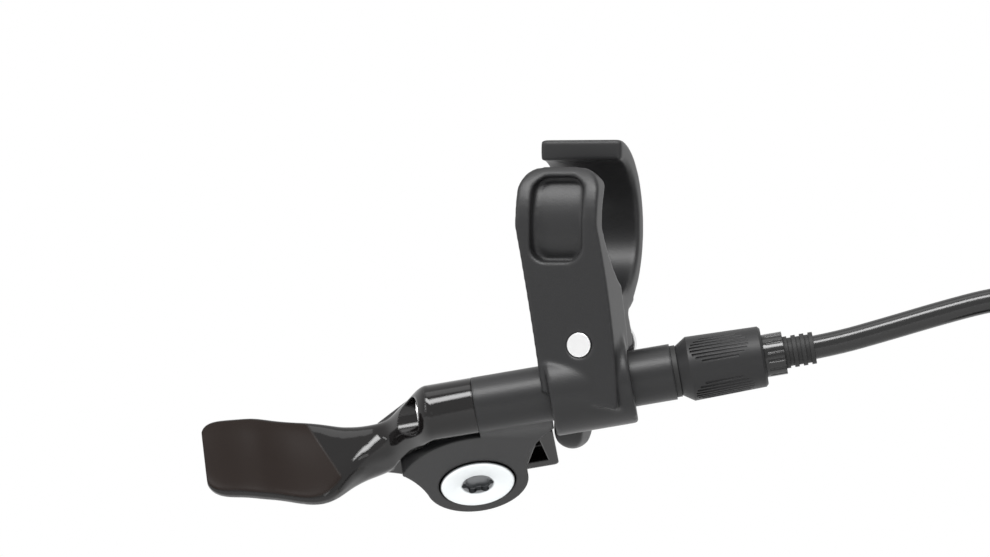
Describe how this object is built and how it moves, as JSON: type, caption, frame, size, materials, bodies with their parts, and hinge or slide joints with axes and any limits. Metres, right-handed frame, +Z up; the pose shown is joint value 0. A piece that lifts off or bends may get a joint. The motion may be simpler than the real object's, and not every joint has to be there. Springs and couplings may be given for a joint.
{
  "type": "dropper post remote lever",
  "caption": "Thumb lever on a split handlebar clamp that pulls a dropper post's cable through a barrel adjuster.",
  "frame": {"origin": "on the handlebar's axis, midway along the clamp", "axes": "+X along the handlebar towards the adjuster's side, +Y away from the rider, +Z up"},
  "size_m": [0.1852, 0.0503, 0.0964],
  "materials": {
    "satin_black": "satin black anodised, fine grain",
    "gloss_black": "polished black, mirror-like",
    "silver_alloy": "bright silver, fine turned face",
    "bright_steel": "bright steel",
    "dark_steel": "blackened steel",
    "dark_alloy": "black anodised",
    "bearing_steel": "ground steel",
    "brass_cage": "pressed brass",
    "seal_rubber": "black rubber",
    "matte_knob": "matte black with fine ridges",
    "gloss_plastic_black": "glossy black",
    "boot_plastic": "matte black, ringed",
    "housing_jacket": "glossy black jacket",
    "tie_fabric": "woven hook-and-loop strap",
    "brass_ferrule": "turned brass"
  },
  "bodies": {
    "clamp": {"clamp_bracket": "satin_black", "front_jaw": "satin_black", "clamp_bolt": "bright_steel", "clamp_washer": "bright_steel", "lever_body": "satin_black", "pivot_bolt": "silver_alloy", "pivot_nut": "dark_steel", "bearing_inner_ring": "bearing_steel"},
    "lever_arm": {"lever": "gloss_black", "bearing_outer_ring": "bearing_steel", "bearing_balls": "bearing_steel", "bearing_cage": "brass_cage", "bearing_shields": "seal_rubber", "cable_head": "bright_steel"},
    "cable": {"inner_cable": "bright_steel"},
    "housing": {"housing_ferrule": "boot_plastic", "cable_housing": "housing_jacket", "housing_coil": "housing_jacket", "coil_tie": "tie_fabric", "housing_tail": "housing_jacket", "far_ferrule": "brass_ferrule"},
    "adjuster": {"adjuster_screw": "dark_alloy", "adjuster_knob": "matte_knob", "adjuster_o_ring": "seal_rubber", "adjuster_collar": "gloss_plastic_black"}
  },
  "joints": [
    {"name": "lever_pivot", "type": "hinge", "parent": "clamp", "child": "lever_arm", "pos_m": [-0.01846, -0.00001, -0.03953], "axis": [0.2863, -0.5158, -0.8074], "range_deg": [0, 25], "stiffness_Nm_per_rad": 1, "springref_deg": -17.19},
    {"name": "cable_slide", "type": "slide", "parent": "clamp", "child": "cable", "axis": [-0.9499, -0.2634, -0.1685], "range_m": [0, 0.00772]},
    {"name": "adjuster_travel", "type": "slide", "parent": "clamp", "child": "housing", "axis": [0.9499, 0.2634, 0.1685], "range_m": [0, 0.0032]},
    {"name": "adjuster_spin", "type": "hinge", "parent": "housing", "child": "adjuster", "pos_m": [0.01725, -0.00455, -0.02397], "axis": [0.9499, 0.2634, 0.1685], "range_deg": [0, 1460]}
  ],
  "couplings": [
    {"joint": "cable_slide", "follows": "lever_pivot", "m_per_rad": 0.017},
    {"joint": "adjuster_spin", "follows": "adjuster_travel", "rad_per_m": 7854}
  ]
}
